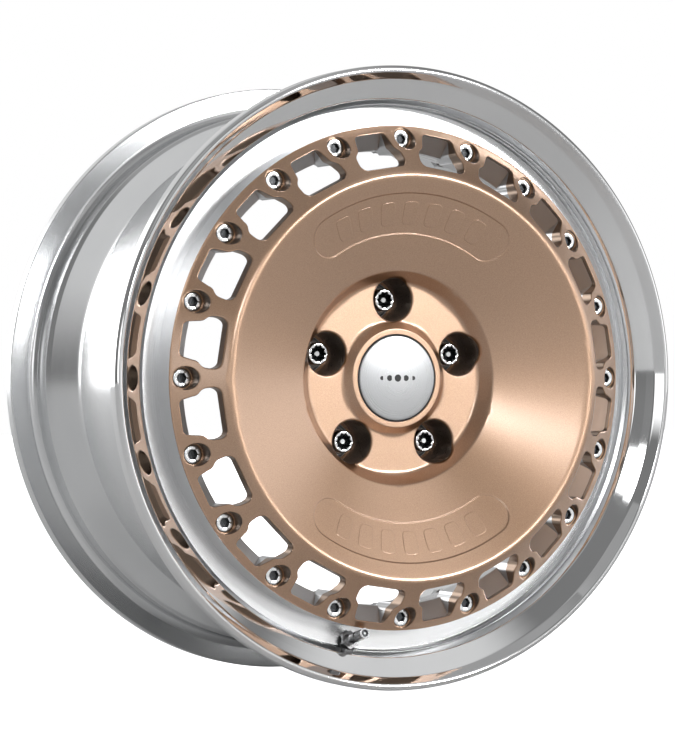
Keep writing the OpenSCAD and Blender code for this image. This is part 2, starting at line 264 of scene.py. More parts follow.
def roundedPath(corners, closed=False, steps=6, support=0.12):
    # Corners are (r, y, fillet). Each fillet is an arc that touches both sides, and a support
    # point close to each end of a straight stretch keeps its shading flat
    corners = [np.array(c, float) for c in corners]
    count = len(corners)
    path = []
    for i, corner in enumerate(corners):
        here, radius = corner[:2], corner[2]
        if not closed and i in (0, count - 1):
            path.append(here[None])
            continue
        before = corners[i - 1][:2] - here
        after = corners[(i + 1) % count][:2] - here
        before = before / np.linalg.norm(before)
        after = after / np.linalg.norm(after)
        half = math.acos(float(np.clip(before @ after, -1, 1))) / 2
        if radius <= 0 or abs(half - math.pi / 2) < 1e-3:
            path.append(here[None])
            continue
        reach = radius / math.tan(half)
        middle = (before + after) / np.linalg.norm(before + after)
        centre = here + middle * radius / math.sin(half)
        start = here + before * reach - centre
        end = here + after * reach - centre
        turn = math.atan2(start[0] * end[1] - start[1] * end[0], start @ end)
        t = np.linspace(0, turn, steps + 1)[:, None]
        side = np.array([-start[1], start[0]])
        arc = centre + np.cos(t) * start + np.sin(t) * side
        ends = [[arc[0] + before * support], [arc[-1] + after * support]]
        path.append(np.concatenate([ends[0], arc, ends[1]]))
    return np.concatenate(path)


def ringOf(path, turns, closeV=False, flip=False):
    # Carries a path of (r, y) to the given turns about the axle: x = r cos, z = r sin
    grid = np.zeros((len(turns), len(path), 3))
    grid[:, :, 0] = np.cos(turns)[:, None] * path[None, :, 0]
    grid[:, :, 1] = path[None, :, 1]
    grid[:, :, 2] = np.sin(turns)[:, None] * path[None, :, 0]
    return gridPatch(grid * mm, closeU=True, closeV=closeV, flip=flip)


def turned(path, segments=360, closeV=False, flip=False):
    # The path at even turns all the way round
    return ringOf(path, np.linspace(0, 2 * math.pi, segments, endpoint=False), closeV, flip)


def runsOutward(path):
    # Sign of the area that a closed (r, y) path encloses tells which way its faces point
    r, y = path[:, 0], path[:, 1]
    return float(np.sum(r * np.roll(y, -1) - np.roll(r, -1) * y)) > 0


def turnedSolid(name, corners, material, segments=360, steps=8):
    # A closed (r, y) outline of rounded corners, turned about the axle
    path = roundedPath(corners, closed=True, steps=steps)
    flip = not runsOutward(path)
    return makePiece(name, [turned(path, segments, closeV=True, flip=flip)], material, 50.0)


def shaderOf(material):
    # The one shader that every material here is built on
    return material.node_tree.nodes["Principled BSDF"]


def newMaterial(name, colour, metal=0.0, rough=0.5, coat=0.0, coatRough=0.1):
    # A material with its plain values set on the shader's own sockets
    material = bpy.data.materials.new(name)
    material.use_nodes = True
    values = {
        "Base Color": (*colour, 1.0), "Metallic": metal, "Roughness": rough,
        "Coat Weight": coat, "Coat Roughness": coatRough,
    }
    for socket, value in values.items():
        shaderOf(material).inputs[socket].default_value = value
    return material


# Both halves of the rim: sizes in millimetres, and corners as radius, height and fillet
lip = {
    "innerR": 163.0, "flatR": 194.2, "seatR": 199.0, "jointR": (186.3, 186.0), "shoulder": 1.0,
    "flangeThick": 7.0,
    "beadR": 202.8, "beadFillet": 6.5, "edgeR": 218.3, "edgeWidth": 12.25,
    # height in front of the flat ring
    "bowl": [(195.5, 1.5, 0.4), (195.9, 3.4, 0.5), (195.3, 11.0, 3.0), (199.0, 15.6, 4.0),
             (206.0, 19.4, 8.0), (212.0, 22.6, 8.0)],
    "hump": [(201.9, -41.0, 0.8), (202.55, -39.0, 0.8), (201.55, -37.0, 0.8)],
}
barrel = {
    "boreR": 163.0, "spigotR": 181.5, "seatLength": 24.0, "slopeLength": 30.0,
    "neckOuter": [(184.0, -14.0, 8.0), (189.0, 4.0, 12.0)], "wellR": 189.0,
    "neckInner": [(184.1, 4.0, 10.0), (179.1, -14.0, 6.0)], "wellInnerR": 184.1, "neckInnerR": 179.1,
    "seatR": 200.0, "seatInnerR": 195.3, "humpR": 202.8, "humpFootR": 201.3,
    "rearBowl": [(211.0, 140.8, 6.0), (205.0, 137.8, 6.0), (199.0, 134.9, 4.0), (196.9, 131.0, 5.0)],
}


def makeLip(material):
    # The lip's outline turned about the axle: flat ring, stepped bowl, edge, bead seat, joint
    tyreFace = lipFrontY + lip["edgeWidth"]
    joint = ringBackY + lip["flangeThick"]
    corners = [(lip["innerR"], ringBackY, 0.5), (lip["flatR"], ringBackY, 0.35)]
    corners += [(r, ringBackY - ahead, fillet) for r, ahead, fillet in lip["bowl"]]
    corners += [
        (lip["edgeR"], lipFrontY - 0.05, 2.4), (flangeR, lipFrontY + 2.6, 3.2),
        (flangeR, tyreFace, 1.2), (lip["beadR"], tyreFace, lip["beadFillet"]),
    ]
    corners += lip["hump"]
    shoulder, (shoulderR, jointR) = joint - lip["shoulder"], lip["jointR"]
    corners += [
        (lip["seatR"], shoulder, 0.6), (shoulderR, shoulder, 0.3), (jointR, joint, 0.3),
        (lip["innerR"], joint, 0.5),
    ]
    piece = turnedSolid("outerRimLip", corners, material)
    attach(piece, "wheel")
    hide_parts("outer_rim_half")


def makeBarrel(material):
    # The barrel's outline turned about the axle: flange, neck, well, slope, bead seat, rear edge,
    # then back along the inside
    tyreFace = rearY - lip["edgeWidth"]
    joint = ringBackY + lip["flangeThick"]
    inner = joint + lip["flangeThick"]
    slope = tyreFace - barrel["seatLength"]
    well = slope - barrel["slopeLength"]
    corners = [
        (barrel["boreR"], inner, 0.5), (barrel["boreR"], joint, 0.5),
        (barrel["spigotR"], joint, 0.3), (barrel["spigotR"] + 2.5, joint + 2.5, 0.3),
    ]
    corners += barrel["neckOuter"]
    corners += [
        (barrel["wellR"], well, 20.0), (barrel["seatR"], slope, 4.0), (barrel["humpR"], slope + 3, 1.2),
        (barrel["humpFootR"], slope + 6, 1.2), (lip["beadR"], tyreFace, lip["beadFillet"]),
        (flangeR, tyreFace, 1.2), (flangeR, rearY - 2.6, 3.2), (lip["edgeR"], rearY + 0.5, 2.4),
    ]
    corners += barrel["rearBowl"]
    corners += [(barrel["seatInnerR"], slope, 8.0), (barrel["wellInnerR"], well, 15.0)]
    corners += barrel["neckInner"]
    corners += [(barrel["neckInnerR"], inner, 1.5)]
    piece = turnedSolid("innerRimBarrel", corners, material)
    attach(piece, "wheel")
    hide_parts("inner_rim_half")


disc = {
    "bolts": 20, "boltCircle": 170.0, "boltPocket": 8.0, "pocketBevel": 0.55, "cellReach": 10.8,
    "boltHoleR": 4.25, "spigotBore": (8.4, -52.0), "headBore": (6.9, -56.0), "pocketFloor": 0.5,
    "lugs": 5, "lugCircle": 56.0, "lugPocket": 15.5, "lugBevel": 1.3, "lugFloorY": -18.2,
    "lugHoleR": 8.0, "lugSeat": (13.2, -7.0), "hubBack": (38.0, 74.0), "boreStepY": -14.0,
    "hubZoneIn": 37.6, "hubZoneOut": 80.0, "dishOut": 147.5, "edgeBevel": 0.45,
    "coneSlope": 0.72, "coneR": 179.5,       # the ring's front meets the bolt heads' plane here
    "dishStart": (76.3, -59.3), "dishSlope": 0.4134, "dishWall": 10.28,
    "backSlopeR": (145.5, 148.2, 160.0), "backSlopeY": (-77.7, -75.7),
    # corners as radius, height and fillet: front from the bore to the bulge, back of the hub
    "front": [(31.2, -54.55, 0), (31.5, -55.0, 0.25), (35.2, -55.0, 1.3), (40.5, -49.5, 2.6),
              (68.7, -49.5, 3.2), (76.2, -59.75, 2.6), (143.36, -86.98, 4.25)],
    "hubSide": [(78.0, -44.0, 5.0), (75.0, -30.0, 5.0), (75.0, -1.0, 0.4)],
    "dishBack": [(138.0, 3.0), (86.0, 8.0)],     # radius and fillet, a wall behind the dish's front
    "panelMid": 116.5, "panelHalfWidth": 14.5, "panelHalfAngle": 33.0, "panelDepth": 0.7,
    "marks": 7, "marksHalf": 54.0, "markSize": (5.6, 8.2), "markRoundness": 0.45,
}
halfCell = math.pi / disc["bolts"]           # half the angle between two rim bolts
# The window's arcs in its own frame: centre along, centre across, radius
window = {
    "middle": (160.5, 0.0), "bevel": 0.8, "innerCorner": (154.2, 12.8, 5.2), "side": (157.0, 12.8, 5.2),
    "shoulder": (165.6, 18.8, 5.19), "outerCorner": (170.5, 8.9, 3.5), "outerStart": 78,
}


def coneLine(r):
    # The front of the window ring: a cone that falls back as the radius grows
    return headY + (r - disc["coneR"]) * disc["coneSlope"]


def dishLine(r):
    # The dish's front between hub and bulge: a cone that comes forward as the radius grows
    startR, startY = disc["dishStart"]
    return startY - (r - startR) * disc["dishSlope"]


discFront = roundedPath([*disc["front"], (discR, coneLine(discR), 0)], steps=14)


def frontY(r):
    # Height of the disc's front at a radius, read off the rounded profile
    return np.interp(r, discFront[:, 0], discFront[:, 1])


def backY(r):
    # Height of the disc's back outside the dish: a slope from under the bulge to the flat
    return np.interp(r, disc["backSlopeR"], [*disc["backSlopeY"], discBackY])


def polar(angle, radius):
    # Points (x, z) from angles in radians and radii
    return np.stack([radius * np.cos(angle), radius * np.sin(angle)], -1)


def raised(flat, y):
    # Puts y between x and z
    return np.stack([flat[..., 0], np.broadcast_to(y, flat.shape[:-1]), flat[..., 1]], -1)


def bevelSteps(width, steps=4):
    # A quarter round: how far in from the hole, and how far down from the face
    turn = np.linspace(0, math.pi / 2, steps + 1)
    return width * (1 - np.cos(turn)), width * (1 - np.sin(turn))


def cellAround(hole, edge, bevel, rings, wallY=None, wallSteps=3):
    # Rings from a hole's outline out to the cell's edge, on the disc's front, with a quarter
    # round at the hole and a wall down to wallY
    reach = np.linalg.norm(edge - hole, axis=-1)
    steps, drops = bevelSteps(bevel)
    share = np.concatenate([steps, [bevel + 0.12]])
    drops = np.concatenate([drops, [0.0]])
    rows = []
    if wallY is not None:
        top = frontY(np.linalg.norm(hole, axis=-1)) + bevel
        for k in range(wallSteps):
            rows.append(raised(hole, wallY + (top - wallY) * k / wallSteps))
    for step, drop in zip(share, drops):
        spot = hole + (edge - hole) * (step / reach)[:, None]
        rows.append(raised(spot, frontY(np.linalg.norm(spot, axis=-1)) + drop))
    for t in np.linspace(0, 1, rings + 1)[1:]:
        start = share[-1] / reach
        spot = hole + (edge - hole) * (start + (1 - start) * t)[:, None]
        rows.append(raised(spot, frontY(np.linalg.norm(spot, axis=-1))))
    return np.stack(rows, 1)


def spun(patch, angle):
    # Turns a patch about the axle from +X towards +Z
    points, quads = patch
    c, s = math.cos(angle), math.sin(angle)
    turn = np.array([[c, 0, s], [0, 1, 0], [-s, 0, c]])
    return points @ turn, quads


def windowOutline(steps=10):
    # The window in the frame of its own middle line: arcs joined by straight sides, and the
    # same mirrored
    def arc(corner, start, end):
        x, z, r = corner
        t = np.radians(np.linspace(start, end, steps + 1))
        return np.stack([x + r * np.cos(t), z + r * np.sin(t)], 1)
    side, shoulder = window["side"], window["shoulder"]
    turn = math.degrees(math.atan2(shoulder[1] - side[1], shoulder[0] - side[0]))
    half = np.concatenate([
        arc(window["innerCorner"], 180, 90), arc(side, 90, turn),
        arc(shoulder, 180 + turn, 270), arc(window["outerCorner"], window["outerStart"], 0),
    ])
    return np.concatenate([half, half[::-1] * [1, -1]])


def castOn(outline, centre, toward):
    # Where rays from the centre through the given points cross a star-shaped outline
    offset = outline - centre
    angle = np.arctan2(offset[:, 1], offset[:, 0])
    order = np.argsort(angle)
    angle, offset = angle[order], offset[order]
    angle = np.concatenate([angle[-1:] - 2 * math.pi, angle, angle[:1] + 2 * math.pi])
    offset = np.concatenate([offset[-1:], offset, offset[:1]])
    ray = toward - centre
    seek = np.arctan2(ray[:, 1], ray[:, 0])
    k = np.clip(np.searchsorted(angle, seek) - 1, 0, len(angle) - 2)
    p, q = offset[k], offset[k + 1] - offset[k]
    unit = ray / np.linalg.norm(ray, axis=1)[:, None]
    cross = unit[:, 0] * q[:, 1] - unit[:, 1] * q[:, 0]
    s = (p[:, 0] * q[:, 1] - p[:, 1] * q[:, 0]) / cross
    return centre + unit * s[:, None]


def pocketLoop():
    # Cell edge round a bolt pocket: a circle, cut off by the disc's outer edge
    turn = np.linspace(-math.pi, math.pi, 72, endpoint=False)
    way = np.stack([np.cos(turn), np.sin(turn)], 1)
    centre, rim, reach = disc["boltCircle"], discR - disc["edgeBevel"], disc["cellReach"]
    along = -centre * way[:, 0] + np.sqrt((centre * way[:, 0]) ** 2 + rim ** 2 - centre ** 2)
    return way, np.array([centre, 0.0]) + way * np.minimum(reach, along)[:, None]


def pocketCells():
    # One cell round each bolt pocket: under the disc, up the spigot's bore, through the bolt
    # hole, then up the pocket's wall and out over the front
    way, edge = pocketLoop()
    centre = np.array([disc["boltCircle"], 0.0])
    floorY = discBackY - disc["pocketFloor"]
    front = cellAround(centre + way * disc["boltPocket"], edge, disc["pocketBevel"], 2, floorY, 2)
    spigotR, spigotY = disc["spigotBore"]
    headR, seatY = disc["headBore"]
    column = [
        (spigotR, discBackY), (spigotR, spigotY), (disc["boltHoleR"], spigotY),
        (disc["boltHoleR"], seatY), (headR, seatY), (headR, floorY),
    ]
    rows = [raised(edge, backY(np.linalg.norm(edge, axis=1)))]
    rows += [raised(centre + way * r, y) for r, y in column]
    cell = np.concatenate([np.stack(rows, 1), front], 1) * mm
    patch = gridPatch(cell, closeU=True, flip=True)
    return [spun(patch, 2 * halfCell * k) for k in range(disc["bolts"])]


def windowLoop():
    # Cell edge round a window, in the window's own frame: the next pocket's points turned by
    # half a cell, an arc at the dish, the same mirrored, and an arc at the outer edge. Also
    # gives the angle where that last arc starts
    rim, middle = discR - disc["edgeBevel"], disc["boltCircle"]
    edge = pocketLoop()[1]
    angle = np.arctan2(edge[:, 1], edge[:, 0] - middle)
    upper = edge[(angle > 1e-6) & (angle < math.pi - 1e-6)]
    upper = upper[np.argsort(np.arctan2(upper[:, 1], upper[:, 0] - middle))]
    radius = np.hypot(upper[:, 0], upper[:, 1])
    upper = upper[np.flatnonzero(radius > rim - 1e-6)[-1]:]
    side = np.linspace(middle - disc["cellReach"], disc["dishOut"], 16)
    fromBolt = np.concatenate([upper, np.stack([side, 0 * side], 1)])
    c, s = math.cos(halfCell), math.sin(halfCell)
    right = fromBolt @ np.array([[c, -s], [s, c]])
    start = abs(math.atan2(right[0, 1], right[0, 0]))
    inArc = polar(np.linspace(-halfCell, halfCell, 37)[1:-1], disc["dishOut"])
    left = (right * [1, -1])[::-1]
    outArc = polar(np.linspace(start, -start, 33)[1:-1], rim)
    return np.concatenate([right, inArc, left, outArc]), start


def windowCells():
    # One cell round each window: under the disc to the opening, up its wall, over its bevel
    # and out over the front
    edge = windowLoop()[0]
    hole = castOn(windowOutline(), np.array(window["middle"]), edge)
    wallEnd = backY(np.linalg.norm(hole, axis=1))
    front = cellAround(hole, edge, window["bevel"], 5, wallEnd, 3)
    under = [edge + (hole - edge) * t for t in (0.0, 0.25, 0.5, 0.75)]
    under = [raised(spot, backY(np.linalg.norm(spot, axis=1))) for spot in under]
    patch = gridPatch(np.concatenate([np.stack(under, 1), front], 1) * mm, closeU=True)
    return [spun(patch, halfCell + 2 * halfCell * k) for k in range(disc["bolts"])]


def discEdges():
    # The outer edge, at the cells' own turns and rounded over, and the upright face at the dish
    rim, joint = discR - disc["edgeBevel"], disc["dishOut"]
    pocketEdge, start = pocketLoop()[1], windowLoop()[1]
    rimPocket = pocketEdge[np.hypot(pocketEdge[:, 0], pocketEdge[:, 1]) > rim - 1e-6]
    turns = np.concatenate([
        np.arctan2(rimPocket[:, 1], rimPocket[:, 0]), halfCell + np.linspace(-start, start, 33)[1:-1],
    ])
    turns = np.concatenate([turns + 2 * halfCell * k for k in range(disc["bolts"])])
    turns = np.unique(np.round(np.mod(turns, 2 * math.pi), 9))
    steps, drops = bevelSteps(disc["edgeBevel"], 3)
    path = [(discR - s, coneLine(rim) + d) for s, d in zip(steps[::-1], drops[::-1])]
    path = np.array(path + [(discR, discBackY), (rim, discBackY)])
    upright = np.array([(joint, float(backY(joint))), (joint, float(frontY(joint)))])
    return [ringOf(path, turns), turned(upright, 720)]


def sectorLoop(inner, outer, halfTurn, arcSteps, sideSteps):
    # Closed loop round a polar patch centred on angle 0
    turn = np.linspace(-halfTurn, halfTurn, arcSteps + 1)
    side = np.linspace(inner, outer, sideSteps + 1)[1:-1]
    return np.concatenate([
        polar(turn, inner), polar(np.full_like(side, halfTurn), side),
        polar(turn[::-1], outer), polar(np.full_like(side, -halfTurn), side[::-1]),
    ])


def hubPatches():
    # Five cells round the lug pockets, front and back, joined through pocket, seat and bolt hole
    half = math.pi / disc["lugs"]
    centre = np.array([disc["lugCircle"], 0.0])
    edge = sectorLoop(disc["hubZoneIn"], disc["hubZoneOut"], half, 72, 22)
    way = edge - centre
    way = way / np.linalg.norm(way, axis=1)[:, None]
    pocket = centre + way * disc["lugPocket"]
    front = cellAround(pocket, edge, disc["lugBevel"], 26, disc["lugFloorY"], 4)
    seatR, seatY = disc["lugSeat"]
    through = [
        (disc["lugHoleR"], 0.0), (disc["lugHoleR"], seatY), (seatR, seatY), (seatR, disc["lugFloorY"]),
    ]
    rows = [raised(sectorLoop(*disc["hubBack"], half, 72, 22), 0.0)]
    rows += [raised(centre + way * r, y) for r, y in through]
    patch = gridPatch(np.concatenate([np.stack(rows, 1), front], 1) * mm, closeU=True)
    return [spun(patch, math.pi / 2 + 2 * half * k) for k in range(disc["lugs"])]


def dishPatches():
    # Each half of the dish unrolled, with a along the panel's middle arc: rows spread from a
    # straight spine, over the panel's sunken floor and rounded outline, to the half's edge
    mid, width, depth = disc["panelMid"], disc["panelHalfWidth"], disc["panelDepth"]
    reach = math.radians(disc["panelHalfAngle"]) * mid
    along = np.linspace(-1, 1, 181) * math.pi / 2 * mid
    side = np.linspace(disc["hubZoneOut"], disc["dishOut"], 21)[1:-1]
    end = np.full_like(side, along[-1])
    edge = np.concatenate([
        np.stack([along, np.full_like(along, disc["dishOut"])], 1),
        np.stack([end, side[::-1]], 1),
        np.stack([along[::-1], np.full_like(along, disc["hubZoneOut"])], 1),
        np.stack([-end, side], 1),
    ])
    spine = np.stack([np.clip(edge[:, 0], -reach, reach), np.full(len(edge), mid)], 1)
    way = edge - spine
    way = way / np.linalg.norm(way, axis=1)[:, None]
    # how far inside the panel's outline, and the share of its depth there
    steps = [(width, 1), (9, 1), (4, 1), (1.1, 1), (0.95, 1), (0.75, 0.9), (0.55, 0.62),
             (0.4, 0.38), (0.2, 0.1), (0, 0), (-0.15, 0)]
    rows = [(spine + way * (width - inward), depth * sunk) for inward, sunk in steps]
    hole = spine + way * (width + 0.15)
    rows += [(hole + (edge - hole) * t, 0.0) for t in np.linspace(0, 1, 13)[1:]]
    patches = []
    for start in (math.pi / 2, -math.pi / 2):
        grid = [raised(polar(start + spot[:, 0] / mid, spot[:, 1]), frontY(spot[:, 1]) + sunk)
                for spot, sunk in rows]
        patches.append(gridPatch(np.stack(grid, 1) * mm, closeU=True))
    return patches


def panelMarks():
    # A row of plain raised lozenges on each panel's floor: a superellipse with a small bevel
    turn = np.linspace(0, 2 * math.pi, 48, endpoint=False)
    c, q, power = np.cos(turn), np.sin(turn), disc["markRoundness"]
    shape = np.stack([np.sign(c) * np.abs(c) ** power, np.sign(q) * np.abs(q) ** power], 1)
    long, tall = disc["markSize"]
    steps = [(0.0, -0.3), (0.0, 0.18), (0.08, 0.26), (0.2, 0.3), (0.4, 0.3), (tall, 0.3)]
    patches = []
    for start in (math.pi / 2, -math.pi / 2):
        for place in np.linspace(-1, 1, disc["marks"]) * disc["marksHalf"]:
            rows = []
            for inset, rise in steps:
                spot = shape * [max(long - inset, 0), max(tall - inset, 0)]
                r = disc["panelMid"] + spot[:, 1]
                y = frontY(r) + disc["panelDepth"] - rise
                rows.append(raised(polar(start - (place + spot[:, 0]) / disc["panelMid"], r), y))
            patches.append(gridPatch(np.stack(rows, 1) * mm, closeU=True))
    return patches


def discFacePatches():
    # Hub and dish in front, then the boss, the hollow back and the bore as turned paths
    hubIn, out, outSlope = disc["hubZoneIn"], disc["dishOut"], disc["backSlopeR"][0]
    bossFront = discFront[discFront[:, 0] < hubIn - 1e-6]
    bossFront = np.concatenate([bossFront, [[hubIn, float(frontY(hubIn))]]])
    corners = [
        (out, float(frontY(out)), 0), (out, float(backY(out)), 0), (outSlope, float(backY(outSlope)), 0.8),
    ]
    corners += [(r, dishLine(r) + disc["dishWall"], fillet) for r, fillet in disc["dishBack"]]
    back = roundedPath([*corners, *disc["hubSide"], (disc["hubBack"][1], 0.0, 0)])
    hubR, step, capR = disc["hubBack"][0], disc["boreStepY"], disc["front"][0][0]
    bore = roundedPath([(hubR, 0.0, 0), (hubR, step, 0.2), (capR, step, 0.4), disc["front"][0]])
    return hubPatches() + dishPatches() + [turned(bossFront), turned(back), turned(bore)]


def makeDisc(material):
    # The disc as three pieces: hub and dish, the ring of windows, and the marks in the panels
    face = makePiece("centreDiscFace", discFacePatches(), material, 38.0)
    windows = pocketCells() + windowCells() + discEdges()
    ring = makePiece("centreDiscWindows", windows, material, 38.0)
    marks = makePiece("centreDiscMarks", panelMarks(), material, 38.0)
    for piece in (face, ring, marks):
        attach(piece, "wheel")
        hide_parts("centre_disc")


bolts = {
    "segments": 96, "headR": 6.5, "headHigh": 5.0, "shankR": 4.0,
    "socketR": 3.35, "socketDeep": 2.6, "socketLobe": 0.35, "socketLobes": 6,
    "lugR": 8.0, "threadR": 7.0, "neckR": 6.4, "neckY": (0.4, -19.3), "collarR": 9.8, "collarFrontY": -22.0,
    "hollowR": 5.3, "hollowDeep": 12.0, "notchDeep": 0.85, "notches": 10, "notchShare": 0.7,
    "pinR": 2.1, "pinBelow": 2.0, "liner": 0.06,
}


def axisSolid(rows, centre, lobes=0, share=1.0):
    # A solid about an axis along Y through (x, z). Each row is (radius, height, lobe depth), and
    # the radius grows by the lobe depth times a wave round the axis
    turn = np.linspace(0, 2 * math.pi, bolts["segments"] * max(1, lobes // 5), endpoint=False)
    wave = np.maximum(np.cos(lobes * turn), 0.0) ** share if lobes else 0 * turn
    grid = np.zeros((len(turn), len(rows), 3))
    for k, (r, y, lobe) in enumerate(rows):
        reach = r + lobe * wave
        grid[:, k, 0] = centre[0] + reach * np.cos(turn)
        grid[:, k, 1] = y
        grid[:, k, 2] = centre[1] + reach * np.sin(turn)
    return gridPatch(grid * mm, closeU=True)


def cupRows(r, frontAt, floorAt, lobe):
    # A thin liner just inside a round hollow, to carry a dark sheet of painted shade: floor, wall and lip
    gap = bolts["liner"]
    return [
        (0.0, floorAt, 0), (r - gap, floorAt, lobe), (r - gap, frontAt, lobe),
        (r - 3 * gap, frontAt, lobe), (r - 3 * gap, floorAt - 3 * gap, lobe), (0.0, floorAt - 3 * gap, 0),
    ]


def makeRimBolts(metal, dark):
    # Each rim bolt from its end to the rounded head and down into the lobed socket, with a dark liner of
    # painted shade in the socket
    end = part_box("rim_bolts")[1].y / mm
    r, shank, lobe = bolts["headR"], bolts["shankR"], bolts["socketLobe"]
    seat, floorAt = headY + bolts["headHigh"], headY + bolts["socketDeep"]
    socket, lobes = bolts["socketR"], bolts["socketLobes"]
    rows = [
        (0, end, 0), (shank - 0.7, end, 0), (shank, end - 0.7, 0), (shank, seat, 0), (r - 0.3, seat, 0),
        (r, seat - 0.3, 0), (r, headY + 0.75, 0), (r - 0.12, headY + 0.3, 0), (r - 0.4, headY + 0.06, 0),
        (r - 0.7, headY, 0), (socket + 0.4, headY, 0.0), (socket + 0.12, headY + 0.1, lobe),
        (socket, headY + 0.35, lobe), (socket, floorAt + 0.2, lobe), (0, floorAt + 0.6, 0),
    ]
    # The socket's liner is a dark sheet of painted shade, standing for the shade inside the socket
    liner = cupRows(socket, headY + 0.4, floorAt, lobe)
    turn = np.linspace(0, 2 * math.pi, disc["bolts"], endpoint=False)
    centres = polar(turn, disc["boltCircle"])
    heads = makePiece("rimBoltHeads", [axisSolid(rows, c, lobes) for c in centres], metal, 40.0)
    socketShade = makePiece("rimBoltSocketShade", [axisSolid(liner, c, lobes) for c in centres], dark, 40.0)
    for piece in (heads, socketShade):
        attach(piece, "wheel")
        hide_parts("rim_bolts")


def makeWheelBolt(number, metal, dark):
    # One wheel bolt from its thread over neck and collar to the notched hollow head, with a dark
    # liner of painted shade in the hollow and a short pin on its floor
    node = "wheel_bolt_%d" % number
    front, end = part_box(node)[0].y / mm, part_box(node)[1].y / mm
    r, wide, hollow, notch = bolts["lugR"], bolts["collarR"], bolts["hollowR"], bolts["notchDeep"]
    thread, neck, pinR = bolts["threadR"], bolts["neckR"], bolts["pinR"]
    (neckEnd, collarBack), collarFront = bolts["neckY"], bolts["collarFrontY"]
    floorAt, pinFront = front + bolts["hollowDeep"], front + bolts["pinBelow"]
    rows = [
        (0, end, 0), (thread - 1.2, end, 0), (thread, end - 1.5, 0), (thread, neckEnd + 0.6, 0),
        (neck, neckEnd, 0), (neck, collarBack, 0), (wide - 0.3, collarBack, 0),
        (wide, collarBack - 0.3, 0), (wide, collarFront + 0.3, 0), (wide - 0.3, collarFront, 0),
        (r + 0.3, collarFront, 0), (r, collarFront - 0.3, 0), (r, front + 1.0, 0),
        (r - 0.15, front + 0.5, 0), (r - 0.5, front + 0.12, 0), (r - 0.9, front, 0),
        (hollow + 0.35, front, notch), (hollow + 0.1, front + 0.12, notch),
        (hollow, front + 0.4, notch), (hollow, floorAt, notch), (0, floorAt, 0),
    ]
    # The hollow's liner is a dark sheet of painted shade inside the hollow
    liner = cupRows(hollow, front + 0.6, floorAt - 0.2, notch)
    pin = [
        (0, floorAt, 0), (pinR, floorAt, 0), (pinR, pinFront + 0.4, 0), (pinR - 0.4, pinFront, 0),
        (0, pinFront, 0),
    ]
    turn = math.pi / 2 + 2 * math.pi / disc["lugs"] * (number - 1)
    centre = (disc["lugCircle"] * math.cos(turn), disc["lugCircle"] * math.sin(turn))
    lobes = (bolts["notches"], bolts["notchShare"])
    parts = [
        ("lugBolt", axisSolid(rows, centre, *lobes), metal),
        ("lugHollowShade", axisSolid(liner, centre, *lobes), dark), ("lugPin", axisSolid(pin, centre), metal),
    ]
    for name, patch, material in parts:
        piece = makePiece("%s%d" % (name, number), [patch], material, 40.0)
        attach(piece, node)
        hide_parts(node)


def sleeveAround(outlineAt, top, foot):
    # A thin closed sleeve inside an outline: two walls, one and three gaps in from it
    gap = bolts["liner"]
    rows = []
    for inset, depth in [(gap, 0.0), (gap, 1.0), (3 * gap, 1.0), (3 * gap, 0.0)]:
        spot = outlineAt(inset)
        start, end = top(spot), foot(spot)
        rows.append(raised(spot, start + (end - start) * depth))
    return gridPatch(np.stack(rows, 1) * mm, closeU=True, closeV=True)


def makePocketLiners(material):
    # The pockets' walls darkened with painted shade: thin dark sleeves just inside the round pockets of the
    # disc
    around = np.linspace(0, 2 * math.pi, 96, endpoint=False)
    rimTurns = np.linspace(0, 2 * math.pi, disc["bolts"], endpoint=False)
    lugTurns = math.pi / 2 + np.linspace(0, 2 * math.pi, disc["lugs"], endpoint=False)
    rimFloor, lugFloor = headY + bolts["headHigh"] - 0.1, disc["lugFloorY"] - 0.1
    jobs = [(disc["boltPocket"], disc["pocketBevel"], c, rimFloor)
            for c in polar(rimTurns, disc["boltCircle"])]
    jobs += [(disc["lugPocket"], disc["lugBevel"], c, lugFloor)
             for c in polar(lugTurns, disc["lugCircle"])]
    patches = []
    for r, bevel, centre, floorAt in jobs:
        rim = frontY(np.linalg.norm(centre + polar(around, r), axis=1)) + bevel + 0.15
        patches.append(sleeveAround(
            lambda inset: centre + polar(around, r - inset), lambda spot: rim, lambda spot: floorAt))
    piece = makePiece("centreDiscPocketShade", patches, material, 40.0)
    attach(piece, "wheel")


def makeWindowLiners(material):
    # The windows' walls darkened with painted shade, as thin sleeves just inside each opening of the disc
    outline, middle = windowOutline(), np.array(window["middle"])
    reach = np.linalg.norm(outline - middle, axis=1)[:, None]
    patch = sleeveAround(
        lambda inset: outline + (middle - outline) * inset / reach,
        lambda spot: frontY(np.linalg.norm(spot, axis=1)) + window["bevel"] + 0.3,
        lambda spot: backY(np.linalg.norm(spot, axis=1)) - 0.1)
    turns = halfCell * (1 + 2 * np.arange(disc["bolts"]))
    piece = makePiece("centreDiscWallShade", [spun(patch, turn) for turn in turns], material, 40.0)
    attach(piece, "wheel")


cap = {
    "domeR": 322.0, "edgeRound": 0.5, "printHigh": 0.03,
    "dots": [(-12.6, 1.5), (-6.6, 2.1), (0.0, 2.6), (6.6, 2.1), (12.6, 1.5)],   # place, radius
}


def domeY(x):
    # The dome's front: a parabola with the given radius of curvature at its top
    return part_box("cap_disc")[0].y / mm + x * x / (2 * cap["domeR"])


def makeCapDisc(material):
    # The cap's domed front turned about the axle, with a rounded edge and a flat back
    foot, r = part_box("cap_disc")[1].y / mm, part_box("cap_disc")[1].x / mm
    rows = [(x, domeY(x), 0) for x in np.linspace(0, r - cap["edgeRound"], 24)]
    edge = rows[-1][1]
    rows += [(r - 0.15, edge + 0.12, 0), (r, edge + cap["edgeRound"], 0), (r, foot, 0), (0, foot, 0)]
    piece = makePiece("capDisc", [axisSolid(rows, (0.0, 0.0))], material, 30.0)
    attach(piece, "centre_cap")
    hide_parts("cap_disc")


